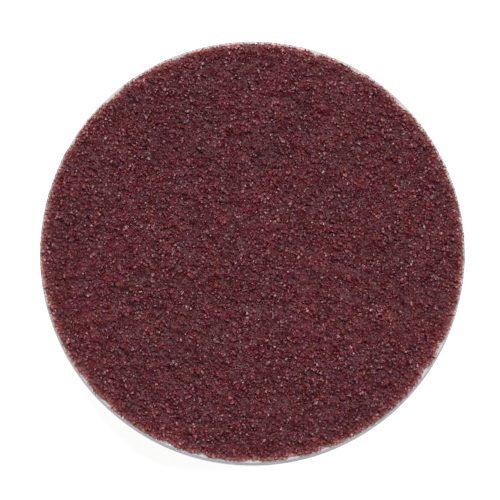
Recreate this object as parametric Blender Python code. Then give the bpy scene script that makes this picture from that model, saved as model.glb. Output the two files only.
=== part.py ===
# A 50 mm quick-change sanding disc: grit coat, cloth backing and a moulded button with a coarse thread.
# Metres, +Z up. The disc stands on the end of its stud, grit side up; the origin is the centre of that end.

import math
import random

import bmesh
import bpy

# Driving sizes
DISC_DIAMETER = 0.0500  # across the back of the cloth, its widest place
CLOTH_THICKNESS = 0.0011
EDGE_LEAN = 0.00022  # the cut edge leans in by this much from the back of the cloth to its front
COAT_THICKNESS = 0.00035
COAT_SETBACK = 0.00002  # from the cloth's front edge in to the grit, on the X axis
COAT_END_SETBACK = 0.00013  # and this much more on the Y axis, where the cut lost more grit
COAT_SHOULDER = 0.00008  # bevel round the top of the coat
GLUE_LINE = 0.0003  # gap held by the resin or the glue between two layers

FLANGE_DIAMETER = 0.0240
FLANGE_THICKNESS = 0.0012
FLANGE_BEVEL = 0.0005
SEAT_HEIGHT = 0.0003  # raised ring that meets the face of the backing pad
SEAT_MARGIN = 0.0012  # from the seat's outer edge out to the flange's
SEAT_CLEARANCE = 0.0016  # from the crest of the thread out to the seat
STUD_HEIGHT = 0.0056  # from the seat to the end of the stud
STUD_CHAMFER = 0.0004
STUD_FILLET = 0.0005
GATE_DIAMETER = 0.0030  # dimple left by the mould's gate
GATE_DEPTH = 0.0005

THREAD_DIAMETER = 0.0095
THREAD_DEPTH = 0.0009
THREAD_PITCH = 0.0023
THREAD_CREST = 0.00035  # width of the flat on the crest
THREAD_ROUND = 0.00015  # bevel at each side of the crest
THREAD_FLANK = math.radians(30)  # lean of each flank
THREAD_SINK = 0.0002  # how far the foot of the ridge reaches into the stud
THREAD_RUN_OUT = math.radians(50)  # turn over which each end of the thread rises to full height
THREAD_END_GAP = 0.0003  # from the thread to the stud's end, and to the level of the seat

# Chips in the edge of the coat: place in degrees from +X, width in degrees, depth in metres
CHIPS = (
    (20, 4, 0.00014),
    (45, 6, 0.00030),
    (60, 4, 0.00020),
    (72, 3, 0.00026),
    (111, 5, 0.00018),
    (132, 8, 0.00024),
    (148, 3, 0.00016),
    (193, 4, 0.00018),
    (217, 5, 0.00022),
    (226, 3, 0.00030),
    (246, 4, 0.00024),
    (256, 3, 0.00034),
    (270, 6, 0.00022),
    (281, 3, 0.00036),
    (290, 4, 0.00026),
    (325, 4, 0.00038),
    (333, 6, 0.00030),
)
RAGGED_DEPTH = 0.00005  # unevenness of the edge between the chips
RAGGED_WAVES = (11, 17, 29, 41)  # waves round the edge
RAGGED_SEED = 4

# Roundness
DISC_SIDES = 240
BUTTON_SIDES = 96
FILLET_POINTS = 5
SMOOTH_ANGLE = math.radians(32)

# Levels, from the end of the stud up
SEAT_LEVEL = STUD_HEIGHT
FLANGE_BACK = SEAT_LEVEL + SEAT_HEIGHT
FLANGE_FRONT = FLANGE_BACK + FLANGE_THICKNESS
CLOTH_BACK = FLANGE_FRONT + GLUE_LINE
CLOTH_FRONT = CLOTH_BACK + CLOTH_THICKNESS
COAT_BACK = CLOTH_FRONT + GLUE_LINE
COAT_FRONT = COAT_BACK + COAT_THICKNESS

# Radii
CLOTH_BACK_RADIUS = DISC_DIAMETER / 2
CLOTH_FRONT_RADIUS = CLOTH_BACK_RADIUS - EDGE_LEAN
FLANGE_RADIUS = FLANGE_DIAMETER / 2
CREST_RADIUS = THREAD_DIAMETER / 2
ROOT_RADIUS = CREST_RADIUS - THREAD_DEPTH
SEAT_INNER_RADIUS = CREST_RADIUS + SEAT_CLEARANCE
SEAT_OUTER_RADIUS = FLANGE_RADIUS - SEAT_MARGIN


def clear_scene():
    for thing in list(bpy.data.objects):
        bpy.data.objects.remove(thing, do_unlink=True)


def finish_of(name, colour, roughness):
    material = bpy.data.materials.new(name)
    material.use_nodes = True
    shader = material.node_tree.nodes["Principled BSDF"]
    shader.inputs["Base Color"].default_value = (*colour, 1.0)
    shader.inputs["Roughness"].default_value = roughness
    shader.inputs["Metallic"].default_value = 0.0
    return material


def object_from(shape, name, material, parent):
    """Turns a bmesh into a smooth shaded object under the parent."""
    bmesh.ops.recalc_face_normals(shape, faces=shape.faces)
    mesh = bpy.data.meshes.new(name)
    shape.to_mesh(mesh)
    shape.free()
    mesh.shade_smooth()
    mesh.set_sharp_from_angle(angle=SMOOTH_ANGLE)
    mesh.materials.append(material)
    thing = bpy.data.objects.new(name, mesh)
    thing.parent = parent
    bpy.context.scene.collection.objects.link(thing)
    return thing


def turned(profile, sides):
    """A solid of revolution about Z from (radius, height) points that start and end on the axis."""
    shape = bmesh.new()
    points = [shape.verts.new((radius, 0.0, height)) for radius, height in profile]
    edges = [shape.edges.new(pair) for pair in zip(points, points[1:])]
    bmesh.ops.spin(
        shape,
        geom=points + edges,
        axis=(0.0, 0.0, 1.0),
        cent=(0.0, 0.0, 0.0),
        angle=math.tau,
        steps=sides,
        use_merge=True,
    )
    bmesh.ops.remove_doubles(shape, verts=shape.verts, dist=1e-7)
    return shape


def arc(centre, radius, start, end):
    """Points on an arc in the (radius, height) plane, from one angle in degrees to another."""
    found = []
    for step in range(FILLET_POINTS):
        angle = math.radians(start + (end - start) * step / (FILLET_POINTS - 1))
        found.append((centre[0] + radius * math.cos(angle), centre[1] + radius * math.sin(angle)))
    return found


def ragged_waves():
    """Pairs of waves round the edge and phase, the same on every run."""
    chance = random.Random(RAGGED_SEED)
    return [(waves, chance.uniform(0.0, math.tau)) for waves in RAGGED_WAVES]


def chip_depth(angle, chip):
    """How far one chip cuts in at an angle: deepest in its middle and gone at its sides."""
    place, width, depth = chip
    off = (math.degrees(angle) - place + 180.0) % 360.0 - 180.0
    if abs(off) >= width / 2:
        return 0.0
    return depth * math.cos(math.pi * off / width)


def coat_radius(angle, waves):
    uneven = sum(1.0 + math.sin(count * angle + phase) for count, phase in waves)
    lost = RAGGED_DEPTH * uneven / (2 * len(waves))
    lost += max(chip_depth(angle, chip) for chip in CHIPS)
    lost += COAT_END_SETBACK * math.sin(angle) ** 2
    return CLOTH_FRONT_RADIUS - COAT_SETBACK - lost


def make_coat(parent):
    """The grit and the resin that holds it, with a chipped edge."""
    waves = ragged_waves()
    shape = bmesh.new()
    rings = ((0.0, COAT_BACK), (0.0, COAT_FRONT - COAT_SHOULDER), (COAT_SHOULDER, COAT_FRONT))
    loops = []
    for inset, height in rings:
        loop = []
        for side in range(DISC_SIDES):
            angle = math.tau * side / DISC_SIDES
            radius = coat_radius(angle, waves) - inset
            loop.append(shape.verts.new((radius * math.cos(angle), radius * math.sin(angle), height)))
        loops.append(loop)
    for low, high in zip(loops, loops[1:]):
        for side in range(DISC_SIDES):
            after = (side + 1) % DISC_SIDES
            shape.faces.new((low[side], low[after], high[after], high[side]))
    shape.faces.new(loops[0])
    shape.faces.new(loops[-1])
    red_grit = finish_of("red_grit", (0.105, 0.030, 0.036), 0.62)
    return object_from(shape, "abrasive_coat", red_grit, parent)


def make_cloth(parent):
    """The backing, die cut from the grit side so that its edge leans out toward the back."""
    profile = (
        (0.0, CLOTH_FRONT),
        (CLOTH_FRONT_RADIUS, CLOTH_FRONT),
        (CLOTH_BACK_RADIUS, CLOTH_BACK),
        (0.0, CLOTH_BACK),
    )
    pale_cloth = finish_of("pale_cloth", (0.56, 0.50, 0.47), 0.9)
    return object_from(turned(profile, DISC_SIDES), "backing_cloth", pale_cloth, parent)


def button_profile():
    """The button without its thread: flange, raised seat, stud and gate dimple."""
    fillet_centre = (ROOT_RADIUS + STUD_FILLET, FLANGE_BACK - STUD_FILLET)
    gate_radius = GATE_DIAMETER / 2
    seat_edge = SEAT_HEIGHT / 2
    return [
        (0.0, FLANGE_FRONT),
        (FLANGE_RADIUS, FLANGE_FRONT),
        (FLANGE_RADIUS, FLANGE_BACK + FLANGE_BEVEL),
        (FLANGE_RADIUS - FLANGE_BEVEL, FLANGE_BACK),
        (SEAT_OUTER_RADIUS + seat_edge, FLANGE_BACK),
        (SEAT_OUTER_RADIUS, SEAT_LEVEL),
        (SEAT_INNER_RADIUS, SEAT_LEVEL),
        (SEAT_INNER_RADIUS - seat_edge, FLANGE_BACK),
        *arc(fillet_centre, STUD_FILLET, 90, 180),
        (ROOT_RADIUS, STUD_CHAMFER),
        (ROOT_RADIUS - STUD_CHAMFER, 0.0),
        (gate_radius, 0.0),
        (gate_radius / 2, GATE_DEPTH * 0.8),
        (0.0, GATE_DEPTH),
    ]


def thread_half_width(radius):
    """Half the width of the full ridge where it crosses a radius, below the bevel of its crest."""
    below_bevel = CREST_RADIUS - THREAD_ROUND - radius
    return THREAD_CREST / 2 + THREAD_ROUND + below_bevel * math.tan(THREAD_FLANK)


def thread_section(share):
    """(along the stud, radius) of the ridge's corners, where it has risen to a share of its height."""
    foot = ROOT_RADIUS - THREAD_SINK
    shoulder = CREST_RADIUS - THREAD_ROUND
    upper = (
        (thread_half_width(foot), foot),
        (thread_half_width(shoulder), foot + (shoulder - foot) * share),
        (THREAD_CREST / 2, foot + (CREST_RADIUS - foot) * share),
    )
    return upper + tuple((-along, radius) for along, radius in reversed(upper))


def make_thread_ridge(parent, material):
    """The ridge wound round the stud, sunk into the stud at both ends of its run."""
    end_room = THREAD_END_GAP + thread_half_width(ROOT_RADIUS)
    run = SEAT_LEVEL - 2 * end_room
    steps = math.floor(BUTTON_SIDES * run / THREAD_PITCH)
    full_turn = math.tau * steps / BUTTON_SIDES
    sunk_share = THREAD_SINK / (2 * (THREAD_SINK + THREAD_DEPTH))
    shape = bmesh.new()
    sections = []
    for step in range(steps + 1):
        angle = math.tau * step / BUTTON_SIDES
        level = end_room + THREAD_PITCH * step / BUTTON_SIDES
        rise = min(1.0, angle / THREAD_RUN_OUT, (full_turn - angle) / THREAD_RUN_OUT)
        share = sunk_share + (1.0 - sunk_share) * math.sin(rise * math.pi / 2)
        corners = []
        for along, radius in thread_section(share):
            corners.append(
                shape.verts.new((radius * math.cos(angle), radius * math.sin(angle), level + along))
            )
        sections.append(corners)
    for first, second in zip(sections, sections[1:]):
        for corner in range(len(first)):
            after = (corner + 1) % len(first)
            shape.faces.new((first[corner], first[after], second[after], second[corner]))
    shape.faces.new(sections[0])
    shape.faces.new(sections[-1])
    ridge = object_from(shape, "thread_ridge", material, parent)
    ridge.hide_render = True
    ridge.display_type = "WIRE"
    return ridge


def make_button(parent):
    """The one-piece moulded button: a flange that is bonded to the cloth and a threaded stud."""
    black_nylon = finish_of("black_nylon", (0.022, 0.022, 0.024), 0.45)
    button = object_from(turned(button_profile(), BUTTON_SIDES), "fastener_button", black_nylon, parent)
    thread = button.modifiers.new("thread", "BOOLEAN")
    thread.operation = "UNION"
    thread.solver = "EXACT"
    thread.object = make_thread_ridge(parent, black_nylon)
    return button


def main():
    clear_scene()
    disc = bpy.data.objects.new("sanding_disc", None)
    bpy.context.scene.collection.objects.link(disc)
    make_button(disc)
    make_cloth(disc)
    make_coat(disc)


main()
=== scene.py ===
# Looks of a 50 mm quick-change sanding disc: red grit on pale cloth, with a moulded button on its back.
# Metres, +Z up, grit side up. The layers' levels and the outer radii come from the loaded model.
import math

import bmesh
import bpy
import numpy as np
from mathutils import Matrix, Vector, kdtree
from mathutils.geometry import delaunay_2d_cdt


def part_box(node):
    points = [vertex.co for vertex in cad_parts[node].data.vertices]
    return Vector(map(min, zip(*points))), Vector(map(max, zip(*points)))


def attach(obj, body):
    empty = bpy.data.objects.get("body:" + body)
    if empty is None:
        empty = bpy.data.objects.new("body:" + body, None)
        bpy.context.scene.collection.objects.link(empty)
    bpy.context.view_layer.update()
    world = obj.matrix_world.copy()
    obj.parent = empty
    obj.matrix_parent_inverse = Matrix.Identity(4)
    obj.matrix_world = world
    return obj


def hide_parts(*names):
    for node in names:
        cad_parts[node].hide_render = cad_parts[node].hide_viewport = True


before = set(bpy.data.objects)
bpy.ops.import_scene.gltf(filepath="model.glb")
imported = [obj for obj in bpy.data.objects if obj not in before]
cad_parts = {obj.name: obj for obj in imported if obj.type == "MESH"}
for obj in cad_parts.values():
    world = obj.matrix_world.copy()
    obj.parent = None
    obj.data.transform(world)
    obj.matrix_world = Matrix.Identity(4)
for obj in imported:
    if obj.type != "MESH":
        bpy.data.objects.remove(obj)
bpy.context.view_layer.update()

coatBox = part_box("abrasive_coat")
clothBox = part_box("backing_cloth")
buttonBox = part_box("fastener_button")
coatTop = coatBox[1].z
clothTop = clothBox[1].z
clothBack = clothBox[0].z
flangeFront = buttonBox[1].z
discRadius = clothBox[1].x
flangeRadius = buttonBox[1].x
fullTurn = 2 * math.pi
levelSlack = 0.00001  # points this close to a level lie on it
weldReach = 0.0000001  # points this close are one point
noiseReach = 0.03  # the noise grids reach this far from the axis


# Shared tools

def cornerPlaces(mesh):
    places = np.empty(len(mesh.vertices) * 3)
    mesh.vertices.foreach_get("co", places)
    return places.reshape(-1, 3)


# angles and radii of a CAD node's outer corners at one level, in order round the axis
def cadRim(nodeName, level):
    points = cornerPlaces(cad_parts[nodeName].data)
    points = points[np.abs(points[:, 2] - level) < levelSlack]
    radii = np.hypot(points[:, 0], points[:, 1])
    outer = radii > 0.9 * radii.max()
    angles = np.arctan2(points[outer, 1], points[outer, 0]) % fullTurn
    order = np.argsort(angles)
    return angles[order], radii[outer][order]


# smooth noise from -1 to 1 with one random value at each corner of a square cell
def softNoise(x, y, cell, seed):
    rng = np.random.default_rng(seed)
    half = int(noiseReach / cell) + 2
    values = rng.uniform(-1, 1, (2 * half + 2, 2 * half + 2))
    across, up = x / cell + half, y / cell + half
    column, row = np.floor(across).astype(int), np.floor(up).astype(int)
    fx, fy = across - column, up - row
    fx, fy = fx * fx * (3 - 2 * fx), fy * fy * (3 - 2 * fy)
    low = values[row, column] * (1 - fx) + values[row, column + 1] * fx
    high = values[row + 1, column] * (1 - fx) + values[row + 1, column + 1] * fx
    return low * (1 - fy) + high * fy


def meshPiece(name, points, faces, material, smooth=False):
    mesh = bpy.data.meshes.new(name)
    mesh.from_pydata([tuple(p) for p in points], [], [tuple(f) for f in faces])
    mesh.update()
    if smooth:
        mesh.shade_smooth()
    mesh.materials.append(material)
    piece = bpy.data.objects.new(name, mesh)
    bpy.context.scene.collection.objects.link(piece)
    return piece


def pointColours(piece, name, colours):
    layer = piece.data.attributes.new(name, "FLOAT_COLOR", "POINT")
    full = np.ones((len(piece.data.vertices), 4), np.float32)
    full[:, :colours.shape[1]] = colours
    layer.data.foreach_set("color", full.ravel())


mapWidth = 2.1  # the map spans this many radii


# a map that looks straight down on the disc, which suits the grit's thousands of small faces
def topMap(piece):
    layer = piece.data.uv_layers.new(name="OFBake")
    corners = np.empty(len(piece.data.loops), np.int32)
    piece.data.loops.foreach_get("vertex_index", corners)
    flat = cornerPlaces(piece.data)[corners, :2] / (mapWidth * discRadius) + 0.5
    layer.data.foreach_set("uv", flat.astype(np.float32).ravel())


# points and triangles that fill a closed ring of (x, y) points through loose points inside it
def filledOutline(ring, inner):
    flat = [Vector(p) for p in ring] + [Vector(p) for p in inner]
    points, _, faces, _, _, _ = delaunay_2d_cdt(flat, [], [list(range(len(ring)))], 1, weldReach)
    return np.array([tuple(p) for p in points]), faces


# carries the open edge of a filled outline through (shrink, height) steps and closes it with a
# flat face. shrink, a length or a function of the angle, is how far each step lies in from the
# one before
def closeBelow(piece, levels):
    shape = bmesh.new()
    shape.from_mesh(piece.data)
    edge = [e for e in shape.edges if e.is_boundary]
    for shrink, height in levels:
        made = bmesh.ops.extrude_edge_only(shape, edges=edge)["geom"]
        corners = [g for g in made if isinstance(g, bmesh.types.BMVert)]
        edge = [g for g in made if isinstance(g, bmesh.types.BMEdge) and g.is_boundary]
        for corner in corners:
            radius = math.hypot(corner.co.x, corner.co.y)
            inward = shrink(math.atan2(corner.co.y, corner.co.x)) if callable(shrink) else shrink
            scale = 1 - inward / radius
            corner.co = (corner.co.x * scale, corner.co.y * scale, height)
    bmesh.ops.edgeloop_fill(shape, edges=edge)
    bmesh.ops.recalc_face_normals(shape, faces=shape.faces)
    shape.to_mesh(piece.data)
    shape.free()


# Materials

def newMaterial(name):
    material = bpy.data.materials.new(name)
    material.use_nodes = True
    tree = material.node_tree
    return material, tree, tree.nodes["Principled BSDF"]


# adds a node, sets what it is given, and plugs in each (socket, value or output) pair
def addNode(tree, kind, inputs=(), **settings):
    node = tree.nodes.new(kind)
    for key, value in settings.items():
        setattr(node, key, value)
    for socket, value in inputs:
        if isinstance(value, bpy.types.NodeSocket):
            tree.links.new(value, node.inputs[socket])
        else:
            node.inputs[socket].default_value = value
    return node


def colourRamp(tree, source, stops):
    ramp = addNode(tree, "ShaderNodeValToRGB", [("Fac", source)])
    elements = ramp.color_ramp.elements
    while len(elements) < len(stops):
        elements.new(1.0)
    for element, (place, colour) in zip(elements, stops):
        element.position = place
        element.color = (*colour, 1.0)
    return ramp.outputs["Color"]


def noiseOutput(tree, place, scale, detail=2.0, roughness=0.5):
    made = addNode(tree, "ShaderNodeTexNoise", [("Vector", place), ("Scale", scale), ("Detail", detail),
                                                ("Roughness", roughness)])
    return made.outputs["Fac"]


def spread(tree, source, low, high, fromLow=0.0, fromHigh=1.0):
    made = addNode(tree, "ShaderNodeMapRange", [("Value", source), ("From Min", fromLow),
                                                ("From Max", fromHigh), ("To Min", low), ("To Max", high)])
    return made.outputs["Result"]


def objectPlace(tree):
    return addNode(tree, "ShaderNodeTexCoord").outputs["Object"]


def bumpFrom(tree, shader, source, strength, distance, over=None):
    bump = addNode(tree, "ShaderNodeBump", [("Height", source), ("Strength", strength),
                                            ("Distance", distance)])
    if over:
        tree.links.new(over, bump.inputs["Normal"])
    tree.links.new(bump.outputs["Normal"], shader.inputs["Normal"])


gritFinish = {
    "grainSpeckle": 9000.0,
    "shades": (0.62, 1.38),  # darkest and palest speckle, as shares of the colour
    "flakes": 4000.0,
    "flakeTilt": 0.72,
    # pale dust and a painted sheen, added to the grains' colour
    "dustAndSheen": (0.025, 0.0190, 0.0240),
    "sheenFacing": (0.30, 1.0),  # from steep faces to those that face up
    "sheenRange": (0.55, 1.3),  # share of bloom on each
    "roughness": (0.32, 0.48),
    "specular": 0.80,
    "bumpDepth": 0.000006,
    "bedRoughness": (0.44, 0.62),
    "bedSpecular": 0.35,
    "bedBump": 0.000014,
}


def gritMaterial(name, roughness, specular, depth):
    material, tree, shader = newMaterial(name)
    place = objectPlace(tree)
    body = addNode(tree, "ShaderNodeAttribute", attribute_name="gritColour")
    speckle = noiseOutput(tree, place, gritFinish["grainSpeckle"], 3.0, 0.6)
    # each small flake of a grain's face leans its own way
    flakes = addNode(tree, "ShaderNodeTexVoronoi", [("Vector", place), ("Scale", gritFinish["flakes"])])
    lean = addNode(tree, "ShaderNodeVectorMath", [(0, flakes.outputs["Color"]), (1, (0.5, 0.5, 0.5))],
                   operation="SUBTRACT")
    lean = addNode(tree, "ShaderNodeVectorMath",
                   [(0, lean.outputs["Vector"]), ("Scale", gritFinish["flakeTilt"])], operation="SCALE")
    normal = addNode(tree, "ShaderNodeNewGeometry").outputs["Normal"]
    leaning = addNode(tree, "ShaderNodeVectorMath", [(0, normal), (1, lean.outputs["Vector"])])
    leaning = addNode(tree, "ShaderNodeVectorMath", [(0, leaning.outputs["Vector"])], operation="NORMALIZE")
    bumpFrom(tree, shader, speckle, 1.0, depth, leaning.outputs["Vector"])
    # pale dust on the grains, with a painted sheen that is strongest on what faces up toward the lamps
    facing = addNode(tree, "ShaderNodeSeparateXYZ", [("Vector", leaning.outputs["Vector"])]).outputs["Z"]
    facing = spread(tree, facing, *gritFinish["sheenRange"], *gritFinish["sheenFacing"])
    amount = addNode(tree, "ShaderNodeMath", [(0, facing), (1, body.outputs["Alpha"])],
                     operation="MULTIPLY")
    dustAndSheen = addNode(tree, "ShaderNodeVectorMath",
                    [(0, gritFinish["dustAndSheen"]), ("Scale", amount.outputs["Value"])], operation="SCALE")
    dustedAndSheened = addNode(tree, "ShaderNodeVectorMath",
                     [(0, body.outputs["Color"]), (1, dustAndSheen.outputs["Vector"])])
    shade = spread(tree, speckle, *gritFinish["shades"], 0.28, 0.72)
    shaded = addNode(tree, "ShaderNodeVectorMath", [(0, dustedAndSheened.outputs["Vector"]), ("Scale", shade)],
                     operation="SCALE")
    tree.links.new(shaded.outputs["Vector"], shader.inputs["Base Color"])
    tree.links.new(spread(tree, speckle, *roughness, 0.25, 0.75), shader.inputs["Roughness"])
    shader.inputs["Specular IOR Level"].default_value = specular
    return material


clothFinish = {
    "yarn": ((0.0, (0.44, 0.40, 0.37)), (0.5, (0.62, 0.57, 0.53)), (1.0, (0.76, 0.72, 0.68))),
    # the cut wall's own pale colour with a painted blue-grey tint of the cool shade on it
    "wall": ((0.0, (0.66, 0.67, 0.74)), (0.5, (0.75, 0.76, 0.83)), (1.0, (0.83, 0.84, 0.90))),
    "torn": (0.63, 0.60, 0.62),
    "soil": (0.50, 0.45, 0.43),
    "fibreScale": 5200.0,
    "wallLayers": 5200.0,
    "blotchScale": 240.0,
    "roughness": (0.72, 0.95),
    "specular": 0.25,
    "bumpDepth": 0.000018,
}


def clothMaterial():
    material, tree, shader = newMaterial("paleCloth")
    place = objectPlace(tree)
    zone = addNode(tree, "ShaderNodeAttribute", attribute_name="clothZone")
    parts = addNode(tree, "ShaderNodeSeparateColor", [("Color", zone.outputs["Color"])])
    fibre = noiseOutput(tree, place, clothFinish["fibreScale"], 4.0, 0.65)
    blotch = noiseOutput(tree, place, clothFinish["blotchScale"], 2.0)
    # painted shade in the weave: yarn tone follows its height, paler on crowns, darker in the dips
    crown = addNode(tree, "ShaderNodeMath", [(0, fibre), (1, parts.outputs["Blue"])], operation="MULTIPLY")
    yarn = colourRamp(tree, spread(tree, crown.outputs["Value"], 0.0, 1.0, 0.1, 0.75), clothFinish["yarn"])
    stretched = addNode(tree, "ShaderNodeMapping", [("Vector", place), ("Scale", (0.25, 0.25, 1.0))])
    layers = noiseOutput(tree, stretched.outputs["Vector"], clothFinish["wallLayers"], 2.0)
    strands = addNode(tree, "ShaderNodeMath", [(0, layers), (1, fibre)], operation="ADD")
    # the wall's colours carry a painted blue-grey tint of cool shade
    wall = colourRamp(tree, spread(tree, strands.outputs["Value"], 0.0, 1.0, 0.7, 1.3), clothFinish["wall"])
    side = addNode(tree, "ShaderNodeMix", [("Factor", parts.outputs["Red"]), (6, yarn), (7, wall)],
                   data_type="RGBA")
    torn = addNode(tree, "ShaderNodeMix", [("Factor", parts.outputs["Green"]), (6, side.outputs[2]),
                                           (7, (*clothFinish["torn"], 1.0))], data_type="RGBA")
    soiled = spread(tree, blotch, 0.0, 0.35, 0.35, 0.75)
    dulled = addNode(tree, "ShaderNodeMix", [("Factor", soiled), (6, torn.outputs[2]),
                                             (7, (*clothFinish["soil"], 1.0))], data_type="RGBA")
    tree.links.new(dulled.outputs[2], shader.inputs["Base Color"])
    tree.links.new(spread(tree, fibre, *clothFinish["roughness"]), shader.inputs["Roughness"])
    shader.inputs["Specular IOR Level"].default_value = clothFinish["specular"]
    bumpFrom(tree, shader, fibre, 0.6, clothFinish["bumpDepth"])
    return material


nylonFinish = {
    "dark": (0.016, 0.016, 0.018),
    "light": (0.034, 0.034, 0.037),
    "texture": 7000.0,
    "flow": 260.0,
    "roughness": (0.34, 0.56),
    "specular": 0.5,
    "bumpDepth": 0.000008,
}


def nylonMaterial():
    material, tree, shader = newMaterial("blackNylon")
    place = objectPlace(tree)
    fine = noiseOutput(tree, place, nylonFinish["texture"], 3.0, 0.6)
    flow = noiseOutput(tree, place, nylonFinish["flow"], 4.0, 0.55)
    colour = colourRamp(tree, flow, ((0.3, nylonFinish["dark"]), (0.7, nylonFinish["light"])))
    tree.links.new(colour, shader.inputs["Base Color"])
    rough = spread(tree, flow, *nylonFinish["roughness"], 0.3, 0.7)
    tree.links.new(rough, shader.inputs["Roughness"])
    shader.inputs["Specular IOR Level"].default_value = nylonFinish["specular"]
    bumpFrom(tree, shader, fine, 0.35, nylonFinish["bumpDepth"])
    return material


glueFinish = {
    "clouds": 900.0,
    "dark": (0.50, 0.40, 0.24),
    "light": (0.68, 0.58, 0.40),
    "roughness": (0.22, 0.42),
    "bumpDepth": 0.00003,
}


def glueMaterial():
    material, tree, shader = newMaterial("meltGlue")
    place = objectPlace(tree)
    cloud = noiseOutput(tree, place, glueFinish["clouds"], 3.0)
    colour = colourRamp(tree, cloud, ((0.3, glueFinish["dark"]), (0.7, glueFinish["light"])))
    tree.links.new(colour, shader.inputs["Base Color"])
    tree.links.new(spread(tree, cloud, *glueFinish["roughness"]), shader.inputs["Roughness"])
    bumpFrom(tree, shader, cloud, 0.3, glueFinish["bumpDepth"])
    return material


# The grit: thousands of crushed grains in a bed of resin

grit = {
    "seed": 11,
    # where the grains lie
    "pitch": 0.00030,
    "jitter": 0.44,
    "missing": 0.15,
    "inset": 0.32,  # share of its size by which a grain's middle stays inside the edge
    # their size and shape
    "sizeMiddle": 0.00036,
    "sizeSpread": 0.30,
    "sizeLimits": (0.00019, 0.00072),
    "kinds": 14,
    "corners": 9,
    "cornerReach": (0.88, 1.0),
    "cornerGap": 0.58,
    "width": (0.65, 1.0),
    "height": (0.75, 1.15),
    # their height, in clumps and hollows
    "bedLevel": coatTop - 0.00039,
    "sunk": 0.14,
    "heightSpread": 0.00006,
    "clumpCells": (0.00040, 0.0007, 0.0016),
    "clumpHeights": (0.00012, 0.00019, 0.00010),
    "clumpStretch": 1.15,
    # the bed of resin
    "bedStep": 0.00017,
    "bedJitter": 0.3,
    "ringStep": 0.00010,
    "bedDrop": 0.00012,
    "bedWave": 0.00010,
    "bedCell": 0.00055,
    "climb": 0.12,
    "climbReach": 0.5,
    "bedMargin": 0.00012,
    "bedInset": 0.6,  # share of a step by which the loose points stay inside the ring
    "bedEdgeDrop": 0.00012,
    "bedDropReach": 0.00012,
    "bedClear": 0.00003,
    "bedFlare": 0.00003,
    "bedFoot": (0.00004, 0.00001),
    # painted shade: the whole bed darkened, as it lies low between the grains
    "bedShade": 0.60,
    # painted shade in the gaps between grains: the bed darkens away from them
    "holeShading": 1.2,
    "holeShadeStart": 0.55,  # share of the pitch from which a gap between grains darkens
    # colour, and how far it goes to warm or grey, dark or pale
    "body": (0.140, 0.0058, 0.0132),
    "warmShift": (0.03, 0.55, -0.48),
    "greyShift": (-0.16, 0.40, 0.32),
    "hueCells": (0.00045, 0.0009),
    "patchHue": 0.6,
    "patchGrey": 0.55,
    "grainHue": 0.16,
    "grainGrey": 0.16,
    # painted sheen: raised clumps greyer
    "liftSheen": 0.45,
    "toneCells": (0.00055, 0.0011, 0.0030),
    "patchTone": 0.10,
    "grainTone": 0.12,
    # painted light and shade: raised clumps paler, hollows darker
    "liftShading": 0.30,
    "cornerTone": 0.12,
    # painted glow: a grain's low, shaded corners redder and its top a little darker, standing in for light
    # through the red resin
    "depthRedGlow": -0.25,
    "depthMiddle": 0.75,  # the share of a grain's height at which depth changes nothing
    "broadCells": (0.0019, 0.0050),
    "broadTone": 0.05,
    # the pale dust and painted sheen on the grains, the sheen most at their tops, as shares of gritFinish's
    # dustAndSheen
    "paintedTopSheen": (0.05, 1.5),  # at a grain's foot and at its top
    "grainDustSheen": 0.45,
    "cornerDustSheen": 0.35,
    "patchDustSheen": 0.25,
    "leastDustSheen": 0.02,
    # the cut edge
    "edgeGain": 0.00001,
    "lowerLoss": 0.00011,
    "teeth": ((0.000012, 0.00007), (0.00004, 0.00006)),  # cell sizes and depths
    "teethRound": 0.0045,  # the cells lie on a circle of this radius
    "edgeDrop": 0.00010,
    "dropReach": 0.00020,
    # painted rim light: brick red added near the edge, where the edge grains catch light from the side
    "rimLightReach": 0.00036,
    "paintedRimLight": (0.35, 0.060, 0.050),
    "chipReach": 0.00015,
    "chipLight": (0.62, 0.50, 0.45),
    "chipLoss": 0.50,
}
coatAngles, coatRadii = cadRim("abrasive_coat", coatBox[0].z)


# 1 at the lowest point of the disc's outline, 0 over its upper half
def lowerSide(angle):
    return np.clip(-np.sin(angle), 0, 1) ** 0.7


# radius of the coat's chipped edge: the CAD outline, with fine teeth
def coatEdge(angle):
    base = np.interp(angle, coatAngles, coatRadii, period=fullTurn)
    around = angle * grit["teethRound"]
    teeth = sum(depth * softNoise(around, around * 0 + 0.001 * seed, cell, seed)
                for seed, (cell, depth) in enumerate(grit["teeth"], 5))
    return base + grit["edgeGain"] - grit["lowerLoss"] * lowerSide(angle) + teeth


# how far the clumps and hollows lift or lower the grains
def clumpLift(x, y):
    lift = np.zeros_like(x)
    for seed, (cell, height) in enumerate(zip(grit["clumpCells"], grit["clumpHeights"])):
        lift += height * softNoise(x / grit["clumpStretch"], y, cell, 20 + seed)
    return lift


# corner positions and faces of a few crushed grains, each a rough convex block one unit across
def grainKinds(rng):
    kinds = []
    while len(kinds) < grit["kinds"]:
        directions = rng.normal(size=(grit["corners"], 3))
        directions /= np.linalg.norm(directions, axis=1)[:, None]
        gaps = np.linalg.norm(directions[:, None] - directions[None], axis=2) + 9 * np.eye(grit["corners"])
        if gaps.min() < grit["cornerGap"]:
            continue
        places = directions * 0.5 * rng.uniform(*grit["cornerReach"], grit["corners"])[:, None]
        shape = bmesh.new()
        corners = [shape.verts.new(place) for place in places]
        bmesh.ops.convex_hull(shape, input=corners)
        shape.verts.index_update()
        if len(shape.faces) == 2 * grit["corners"] - 4:
            kinds.append((places, np.array([[v.index for v in f.verts] for f in shape.faces])))
        shape.free()
    return kinds


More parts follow.
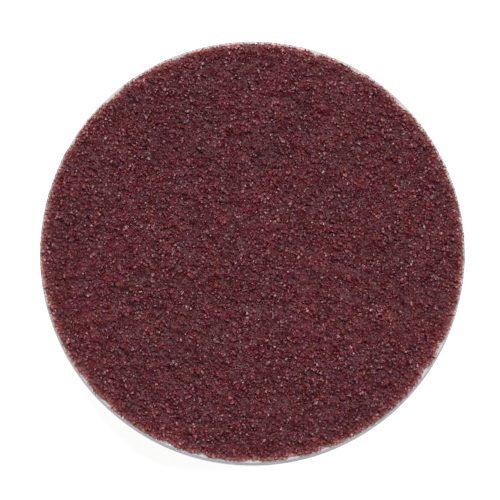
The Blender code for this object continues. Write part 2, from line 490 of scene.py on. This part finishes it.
def grainPlaces(rng):
    pitch = grit["pitch"]
    rowGap = pitch * math.sqrt(3) / 2
    rows = int(discRadius / rowGap) + 1
    columns = int(discRadius / pitch) + 2
    column, row = np.meshgrid(np.arange(-columns, columns + 1), np.arange(-rows, rows + 1))
    x = (column + 0.5 * (row % 2)).ravel() * pitch
    y = row.ravel() * rowGap
    x = x + rng.uniform(-1, 1, x.size) * pitch * grit["jitter"]
    y = y + rng.uniform(-1, 1, y.size) * pitch * grit["jitter"]
    size = grit["sizeMiddle"] * np.exp(rng.normal(0, grit["sizeSpread"], x.size))
    size = np.clip(size, *grit["sizeLimits"])
    inside = np.hypot(x, y) < coatEdge(np.arctan2(y, x)) - grit["inset"] * size
    inside &= rng.uniform(size=x.size) > grit["missing"]
    return x[inside], y[inside], size[inside]


# rotation matrices spread evenly over every direction
def randomTurns(rng, count):
    q = rng.normal(size=(count, 4))
    q /= np.linalg.norm(q, axis=1)[:, None]
    w, x, y, z = q.T
    return np.stack([
        np.stack([1 - 2 * (y * y + z * z), 2 * (x * y - z * w), 2 * (x * z + y * w)], 1),
        np.stack([2 * (x * y + z * w), 1 - 2 * (x * x + z * z), 2 * (y * z - x * w)], 1),
        np.stack([2 * (x * z - y * w), 2 * (y * z + x * w), 1 - 2 * (x * x + y * y)], 1),
    ], 1)


# patches of several sizes added up, about 0.5 strong either way
def patches(x, y, cells, seed):
    total = np.zeros_like(x)
    for number, cell in enumerate(cells):
        total += softNoise(x, y, cell, seed + number)
    return total


# painted light and shade by clump height: high clumps greyer and paler, the hollows between them darker
def gritColours(x, y, chance):
    raised = clumpLift(x, y) / sum(grit["clumpHeights"])
    warm = grit["patchHue"] * patches(x, y, grit["hueCells"], 31) + grit["grainHue"] * chance[:, 0]
    grey = grit["patchGrey"] * patches(x, y, grit["hueCells"], 41) + grit["grainGrey"] * chance[:, 1]
    tone = grit["patchTone"] * patches(x, y, grit["toneCells"], 51) + grit["grainTone"] * chance[:, 2]
    grey, tone = grey + grit["liftSheen"] * raised, tone + grit["liftShading"] * raised
    body = np.array(grit["body"])[None] * np.exp(tone)[:, None]
    return body * np.exp(np.outer(warm, grit["warmShift"]) + np.outer(grey, grit["greyShift"]))


def fromCoatEdge(x, y):
    return coatEdge(np.arctan2(y, x)) - np.hypot(x, y)


# what is added to the colour near the edge: brick red painted light where the edge grains catch light from
# the side, and pale chips at the very edge
def rimLightAndChips(x, y):
    inward = np.maximum(fromCoatEdge(x, y), 0)[..., None]
    brick = np.exp(-inward / grit["rimLightReach"]) * np.array(grit["paintedRimLight"])
    pale = np.exp(-inward / grit["chipReach"]) * np.array(grit["chipLight"])
    return brick + pale * (1 - grit["chipLoss"] * lowerSide(np.arctan2(y, x))[..., None])


# little dust and sheen at a grain's foot and most at its top: a painted sheen where the light falls
def paintedTopSheen(above):
    low, high = grit["paintedTopSheen"]
    return low + (high - low) * above


# corner positions and faces of many grains, each turned and scaled and then set in its place
def grainMeshes(rng, kinds, places, scales):
    count = len(places)
    turns = randomTurns(rng, count)
    kindOf = rng.integers(0, len(kinds), count)
    points = np.empty((count, grit["corners"], 3))
    faces = [None] * count
    for kind, (shape, triangles) in enumerate(kinds):
        mine = np.nonzero(kindOf == kind)[0]
        points[mine] = np.einsum("nij,nkj->nki", turns[mine], shape[None] * scales[mine][:, None])
        for index in mine:
            faces[index] = triangles
    return points + places[:, None], faces


def gritPiece(name, points, faces, colours, material):
    corners = grit["corners"]
    flatFaces = np.concatenate([triangles + corners * place for place, triangles in enumerate(faces)])
    piece = meshPiece(name, points.reshape(-1, 3), flatFaces.tolist(), material)
    pointColours(piece, "gritColour", colours.reshape(-1, 4))
    topMap(piece)
    return piece


def makeGrit():
    rng = np.random.default_rng(grit["seed"])
    kinds = grainKinds(rng)
    x, y, size = grainPlaces(rng)
    count = x.size
    lift = clumpLift(x, y)
    radius = np.hypot(x, y)
    fromEdge = fromCoatEdge(x, y)
    z = grit["bedLevel"] + lift + size * grit["sunk"] + rng.uniform(-1, 1, count) * grit["heightSpread"]
    z = z - grit["edgeDrop"] * np.exp(-fromEdge / grit["dropReach"])
    wide, tall = rng.uniform(*grit["width"], count), rng.uniform(*grit["height"], count)
    scales = np.stack([size, size * wide, size * tall], 1)
    points, faces = grainMeshes(rng, kinds, np.stack([x, y, z], 1), scales)
    body = gritColours(x, y, rng.normal(size=(count, 3)))
    above = np.clip((points[:, :, 2] - (grit["bedLevel"] + lift)[:, None]) / grit["sizeMiddle"], 0, 1)
    tone = grit["cornerTone"] * rng.normal(size=above.shape)
    # painted glow: low corners redder, tops a little darker
    tone = np.exp(tone + grit["depthRedGlow"] * (above - grit["depthMiddle"]))
    dustSheenAmount = 1 + grit["grainDustSheen"] * rng.uniform(-1, 1, count)
    dustSheenAmount = dustSheenAmount + grit["patchDustSheen"] * patches(x, y, grit["toneCells"], 61)
    dustSheenAmount = dustSheenAmount[:, None] + grit["cornerDustSheen"] * rng.uniform(-1, 1, above.shape)
    dustSheenAmount = np.maximum(dustSheenAmount, grit["leastDustSheen"])
    broad = np.exp(grit["broadTone"] * patches(x, y, grit["broadCells"], 81))[:, None]
    # painted sheen, strongest at each grain's top
    dustSheenAmount = dustSheenAmount * paintedTopSheen(above) * broad
    body = body[:, None] * (tone * broad)[:, :, None] + rimLightAndChips(points[:, :, 0], points[:, :, 1])
    colours = np.concatenate([body, dustSheenAmount[:, :, None]], 2)
    print("grit:", count, "grains")

    finish = (gritFinish["roughness"], gritFinish["specular"], gritFinish["bumpDepth"])
    material = gritMaterial("redGrit", *finish)
    order = np.argsort(radius)
    pieces = []
    for name, chosen in zip(("gritCentre", "gritMiddle", "gritRim"), np.array_split(order, 3)):
        mine = [faces[index] for index in chosen]
        pieces.append(gritPiece(name, points[chosen], mine, colours[chosen], material))
    pieces.append(makeCrumbs(rng, kinds, material))
    return pieces, (x, y, size)


# Crumbs of grain and resin that the die left along the edge

crumbs = {
    "count": 2200,
    "lowerShare": 0.62,
    "size": (0.00008, 0.00019),
    "stretch": (0.7, 1.3),
    "reach": (-0.00009, 0.00014),
    "overhang": 0.00003,
    "height": (0.00001, 0.00014),
    "colours": ((0.95, 0.90, 0.84), (0.70, 0.42, 0.38), (0.42, 0.11, 0.07)),
    "shares": (0.34, 0.26, 0.40),
    "shades": (0.75, 1.15),
    # share of pale dust and painted sheen on the crumbs
    "dustSheenAmount": 0.4,
}


def makeCrumbs(rng, kinds, material):
    count = crumbs["count"]
    lower = rng.uniform(size=count) < crumbs["lowerShare"]
    angle = rng.uniform(0, math.pi, count) + math.pi * lower
    size = rng.uniform(*crumbs["size"], count)
    radius = coatEdge(angle) + rng.uniform(*crumbs["reach"], count)
    radius = np.minimum(radius, discRadius - clothLean(angle) + crumbs["overhang"])
    height = clothTop + rng.uniform(*crumbs["height"], count)
    places = np.stack([radius * np.cos(angle), radius * np.sin(angle), height], 1)
    scales = size[:, None] * rng.uniform(*crumbs["stretch"], (count, 3))
    points, faces = grainMeshes(rng, kinds, places, scales)
    picked = rng.choice(len(crumbs["colours"]), count, p=crumbs["shares"])
    body = np.array(crumbs["colours"])[picked] * rng.uniform(*crumbs["shades"], count)[:, None]
    colours = np.concatenate([body, np.full((count, 1), crumbs["dustSheenAmount"])], 1)
    return gritPiece("gritCrumbs", points, faces, np.repeat(colours, grit["corners"], axis=0), material)


# the cured resin between the grains, which climbs a little up each of them
def makeBed(grains):
    gx, gy, size = grains
    rng = np.random.default_rng(grit["seed"] + 1)
    ringCount = int(fullTurn * discRadius / grit["ringStep"])
    angles = np.arange(ringCount) * fullTurn / ringCount
    edge = coatEdge(angles) - grit["bedMargin"]
    ring = np.stack([edge * np.cos(angles), edge * np.sin(angles)], 1)
    step = grit["bedStep"]
    places = np.arange(-discRadius, discRadius, step)
    x, y = (a.ravel() for a in np.meshgrid(places, places))
    jitter = grit["bedJitter"]
    x = x + rng.uniform(-jitter, jitter, x.size) * step
    y = y + rng.uniform(-jitter, jitter, y.size) * step
    inside = np.hypot(x, y) < coatEdge(np.arctan2(y, x)) - grit["bedMargin"] - grit["bedInset"] * step
    points, faces = filledOutline(ring, np.stack([x[inside], y[inside]], 1))
    tree = kdtree.KDTree(len(gx))
    for index, place in enumerate(zip(gx, gy)):
        tree.insert((*place, 0.0), index)
    tree.balance()
    nearest = np.empty(len(points), int)
    distance = np.empty(len(points))
    for index, place in enumerate(points):
        _, nearest[index], distance[index] = tree.find((*place, 0.0))
    wave = grit["bedWave"] * softNoise(points[:, 0], points[:, 1], grit["bedCell"], 71)
    level = grit["bedLevel"] - grit["bedDrop"] + wave + clumpLift(points[:, 0], points[:, 1])
    reach = grit["climbReach"] * size[nearest]
    climb = grit["climb"] * size[nearest] * np.exp(-(distance / reach) ** 2)
    fromEdge = fromCoatEdge(points[:, 0], points[:, 1])
    level = level + climb - grit["bedEdgeDrop"] * np.exp(-fromEdge / grit["bedDropReach"])
    level = np.maximum(level, clothTop + grit["bedClear"])
    finish = (gritFinish["bedRoughness"], gritFinish["bedSpecular"], gritFinish["bedBump"])
    resin = gritMaterial("resinBed", *finish)
    bed = meshPiece("gritBed", np.column_stack([points, level]), faces, resin, True)
    footShrink, footRise = grit["bedFoot"]
    closeBelow(bed, ((-grit["bedFlare"], (coatTop + clothTop) / 2), (footShrink, clothTop + footRise)))
    places = cornerPlaces(bed.data)
    count = len(places)
    body = gritColours(places[:, 0], places[:, 1], np.zeros((count, 3)))
    # painted shade: the bed's colour darkened as it lies low between the grains
    body = (body + rimLightAndChips(places[:, 0], places[:, 1])) * grit["bedShade"]
    # painted shade in the gaps between grains, on both colour and sheen
    holeShade = np.ones(count)
    above = np.zeros(count)
    gap = np.clip(distance / grit["pitch"] - grit["holeShadeStart"], 0, 1)
    holeShade[:len(distance)] = np.exp(-grit["holeShading"] * gap)
    # painted sheen on the bed's raised parts
    above[:len(distance)] = np.clip((wave + grit["bedWave"] + climb) / grit["sizeMiddle"], 0, 1)
    pointColours(bed, "gritColour", np.column_stack([body * holeShade[:, None], paintedTopSheen(above) * holeShade]))
    topMap(bed)
    return bed


# The backing: woven cloth with a die-cut edge

cloth = {
    "seed": 23,
    # the weave
    "warpPitch": 0.00062,
    "weftPitch": 0.00074,
    "wander": 0.00010,
    "wanderCells": (0.004, 0.005),
    "relief": 0.00008,
    "fadeStart": 0.0005,  # the weave fades out under the flange
    "fadeWidth": 0.0004,
    # painted shade: yarn tone follows the weave's height, paler on crowns, darker in the dips
    "crown": (0.55, 0.45),  # middle and swing of the yarns' tone
    # the spacing of its points
    "step": 0.00014,
    "hiddenStep": 0.0012,
    "ringStep": 0.00012,
    "stepJitter": 0.1,
    "edgeMargin": 0.00008,
    "underFlange": 0.0006,
    # the cut wall
    "lean": 0.00011,
    "lowerLean": 0.00022,
    "wallSteps": 6,
    "wallStart": 1.3,  # this and the fade are shares of the relief
    "wallFade": 0.2,
    "wallWave": 0.000015,
    "waveRound": 0.004,  # the wave's cells lie on a circle of this radius
    "waveCell": 0.0004,
    "lip": 0.00012,
    "lipRise": 0.000004,
    "frontStep": 0.0009,
    "tornHeight": 0.00012,
    "tornFade": 0.0001,
    "sharpFrom": math.radians(40),
}


# how far the cut edge leans in over its height, most where the die went in first
def clothLean(angle):
    return cloth["lean"] + cloth["lowerLean"] * lowerSide(angle)


# a plain weave: each yarn goes over one and under the next, from -1 to 1
def weaveHeight(x, y):
    warpCell, weftCell = cloth["wanderCells"]
    u = (x + cloth["wander"] * softNoise(x, y, warpCell, 41)) / cloth["warpPitch"]
    v = (y + cloth["wander"] * softNoise(x, y, weftCell, 42)) / cloth["weftPitch"]
    over = np.cos(math.pi * u) * np.cos(math.pi * v)
    warp = np.sqrt(np.abs(np.sin(math.pi * u))) * (0.5 + 0.5 * np.sign(over) * np.abs(over) ** 0.5)
    weft = np.sqrt(np.abs(np.sin(math.pi * v))) * (0.5 - 0.5 * np.sign(over) * np.abs(over) ** 0.5)
    return 2 * np.maximum(warp, weft) - 1


def makeCloth():
    rng = np.random.default_rng(cloth["seed"])
    ringCount = int(fullTurn * discRadius / cloth["ringStep"])
    angles = np.arange(ringCount) * fullTurn / ringCount
    wave = softNoise(angles * cloth["waveRound"], angles * 0, cloth["waveCell"], 43) - 1
    edge = discRadius + cloth["wallWave"] * wave
    ring = np.stack([edge * np.cos(angles), edge * np.sin(angles)], 1)
    inner = []
    jitter = cloth["stepJitter"]
    shownFrom = flangeRadius - cloth["underFlange"]
    for step, low, high in ((cloth["step"], shownFrom, discRadius - cloth["edgeMargin"]),
                            (cloth["hiddenStep"], 0.0, shownFrom - cloth["underFlange"])):
        places = np.arange(-discRadius, discRadius, step)
        x, y = (a.ravel() for a in np.meshgrid(places, places))
        x = x + rng.uniform(-jitter, jitter, x.size) * step
        y = y + rng.uniform(-jitter, jitter, y.size) * step
        radius = np.hypot(x, y)
        kept = (radius >= low) & (radius < high)
        inner.append(np.stack([x[kept], y[kept]], 1))
    points, faces = filledOutline(ring, np.concatenate(inner))
    x, y = points.T
    radius = np.hypot(x, y)
    shown = np.clip((radius - flangeRadius + cloth["fadeStart"]) / cloth["fadeWidth"], 0, 1)
    level = clothBack - cloth["relief"] * 0.5 * (weaveHeight(x, y) + 1) * shown + cloth["relief"]
    piece = meshPiece("backingCloth", np.column_stack([points, level]), faces, clothMaterial(), True)
    rise = clothTop - clothBack
    steps = cloth["wallSteps"]
    levels = [(0.0, clothBack + cloth["wallStart"] * cloth["relief"])]
    for index in range(steps):
        levels.append((lambda angle: clothLean(angle) / steps, clothBack + rise * (index + 1) / steps))
    levels += [(cloth["lip"], clothTop + cloth["lipRise"]), (cloth["frontStep"], clothTop)]
    closeBelow(piece, levels)
    places = cornerPlaces(piece.data)
    fade = cloth["wallFade"] * cloth["relief"]
    wall = np.clip((places[:, 2] - clothBack - cloth["relief"]) / fade, 0, 1)
    torn = np.clip((places[:, 2] - clothTop + cloth["tornHeight"]) / cloth["tornFade"], 0, 1)
    # painted shade in the weave's dips, by weave height
    middle, swing = cloth["crown"]
    crown = middle + swing * weaveHeight(places[:, 0], places[:, 1])
    pointColours(piece, "clothZone", np.stack([wall, torn, crown], 1))
    piece.data.set_sharp_from_angle(angle=cloth["sharpFrom"])
    return piece


# The glue squeezed out round the flange

glue = {
    "width": 0.0011,
    "climb": 0.00035,  # up the flange's rim
    "tuck": 0.0002,  # in under it
    "filmInner": 0.0015,
    "filmGap": 0.00002,
    "sides": 360,
    "rows": 9,
    "waves": 0.00022,
    "fineShare": 0.5,
    "waveRound": 0.004,
    "waveCells": (0.0006, 0.0002),
    "join": 12,
    "seed": 51,
}


# a film between the flange and the cloth that ends in a low uneven bead
def makeGlue():
    angles = np.arange(glue["sides"]) * fullTurn / glue["sides"]
    around = angles * glue["waveRound"]
    broad, fine = glue["waveCells"]
    reach = glue["width"] + glue["waves"] * softNoise(around, around * 0, broad, glue["seed"])
    ripple = softNoise(around, around * 0 + 0.01, fine, glue["seed"] + 1)
    reach = reach + glue["fineShare"] * glue["waves"] * ripple
    join = glue["join"]  # the last sides run back to the first one's reach
    reach[-join:] += (reach[0] - reach[-join:]) * np.linspace(0, 1, join)
    points, faces = [], []
    low = flangeFront - glue["climb"]
    high = clothBack + cloth["relief"]
    for row in range(glue["rows"]):
        turn = math.pi / 2 * row / (glue["rows"] - 1)
        radius = flangeRadius - glue["tuck"] + reach * math.sin(turn)
        height = high - (high - low) * math.cos(turn)
        for angle, r in zip(angles, radius):
            points.append((r * math.cos(angle), r * math.sin(angle), height))
    r = flangeRadius - glue["filmInner"]
    for height in (high, flangeFront + glue["filmGap"]):
        for angle in angles:
            points.append((r * math.cos(angle), r * math.sin(angle), height))
    rows = glue["rows"] + 2
    for row in range(rows):
        after = (row + 1) % rows
        for side in range(glue["sides"]):
            beside = (side + 1) % glue["sides"]
            faces.append((row * glue["sides"] + side, row * glue["sides"] + beside,
                          after * glue["sides"] + beside, after * glue["sides"] + side))
    return meshPiece("glueBead", points, faces, glueMaterial(), True)


# The button: flange, seat and threaded stud

button = {
    "sides": 288,
    "seat": 0.0056,
    "seatHeight": 0.0003,
    "seatInner": 0.00635,
    "seatOuter": 0.0108,
    "bevel": 0.0005,
    "rootRadius": 0.00385,
    "fillet": 0.0005,
    "chamfer": 0.0004,
    "frontRound": 0.00012,
    "seatRound": 0.00006,
    "seatFoot": 0.00025,
    "innerRound": 0.00004,
    "innerFoot": 0.00020,
    "gateRadius": 0.0015,
    "gateLip": 0.0001,
    "gateDepth": 0.0005,
    "threadDepth": 0.0009,
    "threadPitch": 0.0023,
    "threadStart": 0.001058,
    "threadTurns": 145 / 96,
    "threadFlat": 0.00020,
    "threadFoot": 0.00076,
    "threadRound": (0.35, 0.65),  # shares of the curved and the straight flank
    "runOut": math.radians(50),
    "studTop": 0.0001,
    "studReach": 0.0006,
    "wallStep": 0.00005,
    "sharpFrom": math.radians(50),
}


# how far the thread stands out of the stud's wall, in metres
def threadHeight(angle, level):
    best = np.zeros_like(level)
    curved, straight = button["threadRound"]
    for turn in range(int(button["threadTurns"]) + 1):
        wound = angle + fullTurn * turn
        end = fullTurn * button["threadTurns"]
        rise = np.clip(np.minimum(wound, end - wound) / button["runOut"], 0, 1)
        middle = button["threadStart"] + button["threadPitch"] * wound / fullTurn
        off = np.abs(level - middle)
        slope = np.clip((button["threadFoot"] - off) / (button["threadFoot"] - button["threadFlat"]), 0, 1)
        rounded = slope * slope * (3 - 2 * slope) * curved + slope * straight
        best = np.maximum(best, button["threadDepth"] * rounded * np.sin(rise * math.pi / 2))
    return best


# an arc of profile points round (x, z), from one angle to another in degrees
def corner(x, z, radius, start, end, count):
    turns = np.radians(np.linspace(start, end, count))
    return [(x + radius * math.cos(t), z + radius * math.sin(t)) for t in turns]


def makeButton():
    seat, bevel = button["seat"], button["bevel"]
    seatOuter, seatInner = button["seatOuter"], button["seatInner"]
    back = seat + button["seatHeight"]
    front, edge, inner = button["frontRound"], button["seatRound"], button["innerRound"]
    profile = [(0.0, flangeFront), (flangeRadius * 0.5, flangeFront)]
    profile += corner(flangeRadius - front, flangeFront - front, front, 90, 0, 4)
    profile += corner(flangeRadius - bevel, back + bevel, bevel, 0, -90, 7)
    profile += corner(seatOuter + button["seatFoot"], back + edge, edge, 270, 240, 2)
    profile += corner(seatOuter - edge, seat + edge, edge, 0, -90, 4)
    profile += corner(seatInner + edge, seat + edge, edge, 270, 180, 4)
    profile += corner(seatInner - button["innerFoot"], back + inner, inner, 300, 270, 2)
    root, fillet, chamfer = button["rootRadius"], button["fillet"], button["chamfer"]
    profile += corner(root + fillet, back - fillet, fillet, 90, 180, 6)
    wallTop = back - fillet - button["wallStep"]
    count = int((wallTop - chamfer) / button["wallStep"])
    profile += [(root, z) for z in np.linspace(wallTop, chamfer, count)]
    profile += corner(root - chamfer, chamfer, chamfer, 0, -90, 6)[1:]
    gate = button["gateRadius"]
    profile += [(gate + button["gateLip"], 0.0), (gate, 0.4 * button["gateLip"])]
    for share in (0.8, 0.6, 0.4, 0.2, 0.0):
        profile.append((gate * share, button["gateDepth"] * (1 - share ** 2)))
    profile = np.array(profile)
    sides = button["sides"]
    angles = np.arange(sides) * fullTurn / sides
    radius = np.repeat(profile[:, 0][:, None], sides, axis=1)
    level = np.repeat(profile[:, 1][:, None], sides, axis=1)
    onStud = (level < back - button["studTop"]) & (radius < root + button["studReach"])
    onStud &= radius > 2 * gate
    radius = radius + np.where(onStud, threadHeight(angles[None] + 0 * level, level), 0.0)
    points = np.stack([radius * np.cos(angles), radius * np.sin(angles), level], 2)
    faces = []
    for row in range(len(profile) - 1):
        for side in range(sides):
            beside = (side + 1) % sides
            faces.append((row * sides + side, (row + 1) * sides + side,
                          (row + 1) * sides + beside, row * sides + beside))
    piece = meshPiece("fastenerButton", points.reshape(-1, 3), faces, nylonMaterial(), True)
    shape = bmesh.new()
    shape.from_mesh(piece.data)
    bmesh.ops.remove_doubles(shape, verts=shape.verts, dist=weldReach)
    bmesh.ops.recalc_face_normals(shape, faces=shape.faces)
    shape.to_mesh(piece.data)
    shape.free()
    piece.data.set_sharp_from_angle(angle=button["sharpFrom"])
    return piece


# The stage: floor, light and camera

stage = {
    "floorSide": 3.0,
    "floorLevel": -0.00002,
    "floorColour": 0.80,
    "floorGlow": 0.80,
    "floorRoughness": 0.9,
    "floorSpecular": 0.1,
    "worldLight": 0.105,
    "lampDistance": 1.0,
    "lampSize": 0.40,
    "lamps": ((98, 58, 7.7), (18, 55, 3.6), (-120, 24, 1.9)),  # turn, rise and watts
}


# 1 for rays from the camera, a mirror or glass
def lightPath(tree):
    path = addNode(tree, "ShaderNodeLightPath").outputs
    seen = path["Is Camera Ray"]
    for kind in ("Is Glossy Ray", "Is Transmission Ray"):
        seen = addNode(tree, "ShaderNodeMath", [(0, seen), (1, path[kind])], operation="MAXIMUM").outputs[0]
    return seen


def makeFloor():
    half = stage["floorSide"] / 2
    material, tree, shader = newMaterial("paleFloor")
    shader.inputs["Base Color"].default_value = (stage["floorColour"],) * 3 + (1.0,)
    shader.inputs["Roughness"].default_value = stage["floorRoughness"]
    shader.inputs["Specular IOR Level"].default_value = stage["floorSpecular"]
    seen = lightPath(tree)
    glow = addNode(tree, "ShaderNodeMath", [(0, seen), (1, stage["floorGlow"])], operation="MULTIPLY")
    shader.inputs["Emission Color"].default_value = (1, 1, 1, 1)
    tree.links.new(glow.outputs[0], shader.inputs["Emission Strength"])
    clear = addNode(tree, "ShaderNodeBsdfTransparent")
    behind = addNode(tree, "ShaderNodeNewGeometry").outputs["Backfacing"]
    mixed = addNode(tree, "ShaderNodeMixShader",
                    [(0, behind), (1, shader.outputs[0]), (2, clear.outputs[0])])
    tree.links.new(mixed.outputs[0], tree.nodes["Material Output"].inputs["Surface"])
    outline = ((-half, -half), (half, -half), (half, half), (-half, half))
    corners = [(x, y, stage["floorLevel"]) for x, y in outline]
    floor = meshPiece("floor", corners, [(0, 1, 2, 3)], material)


def makeWorld():
    world = bpy.data.worlds.new("studio")
    bpy.context.scene.world = world
    world.use_nodes = True
    tree = world.node_tree
    back = tree.nodes["Background"]
    back.inputs["Color"].default_value = (1, 1, 1, 1)
    back.inputs["Strength"].default_value = stage["worldLight"]


def makeLamp(name, power, size, place):
    lamp = bpy.data.lights.new(name, "AREA")
    lamp.energy = power
    lamp.size = size
    lamp.shape = "DISK"
    thing = bpy.data.objects.new(name, lamp)
    thing.location = place
    thing.rotation_mode = "QUATERNION"
    thing.rotation_quaternion = Vector(place).to_track_quat("Z", "Y")
    bpy.context.scene.collection.objects.link(thing)


camera = {
    "lens": 200.0,
    "sensor": 36.0,
    "elevation": math.radians(85.5),
    "frameWidth": 0.05845,
    "aim": (0.00028, 0.00015),  # how far the disc stands off the picture's middle
}


def makeCamera():
    data = bpy.data.cameras.new("camera")
    data.lens = camera["lens"]
    data.sensor_width = camera["sensor"]
    data.clip_start = 0.01
    data.clip_end = 10.0
    thing = bpy.data.objects.new("camera", data)
    bpy.context.scene.collection.objects.link(thing)
    back = Vector((0, -math.cos(camera["elevation"]), math.sin(camera["elevation"])))
    distance = camera["frameWidth"] * camera["lens"] / camera["sensor"]
    thing.location = Vector((-camera["aim"][0], camera["aim"][1], coatTop)) + back * distance
    thing.rotation_mode = "QUATERNION"
    thing.rotation_quaternion = (-back).to_track_quat("-Z", "Y")
    bpy.context.scene.camera = thing


makeCamera()
makeWorld()
makeFloor()
for number, (turn, rise, power) in enumerate(stage["lamps"]):
    turn, rise = math.radians(turn), math.radians(rise)
    flat = math.cos(rise) * stage["lampDistance"]
    place = (flat * math.cos(turn), flat * math.sin(turn), math.sin(rise) * stage["lampDistance"])
    makeLamp("lamp%d" % (number + 1), power, stage["lampSize"], place)
print("stage: camera, floor and lamps")

gritPieces, grains = makeGrit()
gritPieces.append(makeBed(grains))
print("grit: bed made")
for piece in gritPieces:
    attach(piece, "root")
    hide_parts("abrasive_coat")

backing = makeCloth()
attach(backing, "root")
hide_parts("backing_cloth")
print("cloth: made")

bead = makeGlue()
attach(bead, "root")
print("glue: made")

fastener = makeButton()
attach(fastener, "root")
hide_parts("fastener_button")
print("button: made")

view = bpy.context.scene.view_settings
view.view_transform = "Standard"
